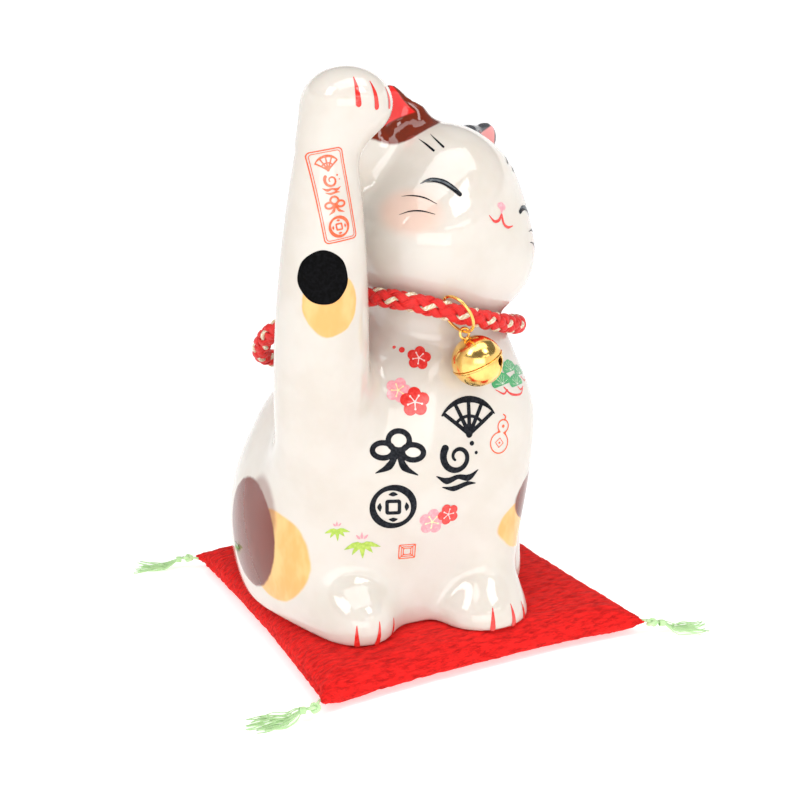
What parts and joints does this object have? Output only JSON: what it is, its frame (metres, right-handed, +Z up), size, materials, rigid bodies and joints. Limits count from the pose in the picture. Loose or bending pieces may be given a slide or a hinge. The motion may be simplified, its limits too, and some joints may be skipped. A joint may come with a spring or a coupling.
{
  "type": "beckoning cat figurine",
  "caption": "Glazed hollow seated cat with one raised forepaw, a braided collar with a round bell, standing on a square crepe cushion with corner tassels.",
  "frame": {"origin": "centre of the cushion's underside, on the surface the object stands on", "axes": "+Z up, the cat's chest faces -Y, its raised right forepaw is on the -X side"},
  "size_m": [0.1519, 0.1386, 0.169],
  "materials": {
    "glaze": "gloss",
    "braid": "matte",
    "thread": "matte",
    "gilt": "polished",
    "crepe": "matte",
    "wadding": "matte",
    "yarn": "matte"
  },
  "bodies": {
    "cushion": {"cushion_top": "crepe", "cushion_bottom": "crepe", "cushion_filling": "wadding", "tassel_left": "yarn", "tassel_front": "yarn", "tassel_right": "yarn", "tassel_back": "yarn"},
    "figure": {"figure_shell": "glaze", "collar_cord": "braid", "collar_whipping": "thread"},
    "ring": {"jump_ring": "gilt"},
    "bell": {"bell_loop": "gilt", "bell_upper": "gilt", "bell_lower": "gilt"},
    "pellet": {"bell_pellet": "gilt"}
  },
  "joints": [
    {"name": "figure_lift", "type": "slide", "parent": "cushion", "child": "figure", "axis": [0, 0, 1], "range_m": [0, 0.04]},
    {"name": "ring_swing", "type": "hinge", "parent": "figure", "child": "ring", "pos_m": [-0.00337, -0.03727, 0.10264], "axis": [-0.9478, 0.066, 0.3119], "range_deg": [0, 20]},
    {"name": "bell_swing", "type": "hinge", "parent": "ring", "child": "bell", "pos_m": [-0.00116, -0.03733, 0.09739], "axis": [0.2421, -0.9703, 0], "range_deg": [-60, 10]},
    {"name": "pellet_roll", "type": "hinge", "parent": "bell", "child": "pellet", "pos_m": [0.0026, -0.03865, 0.08882], "axis": [0.2421, -0.9703, 0], "range_deg": [-60, 60]}
  ]
}
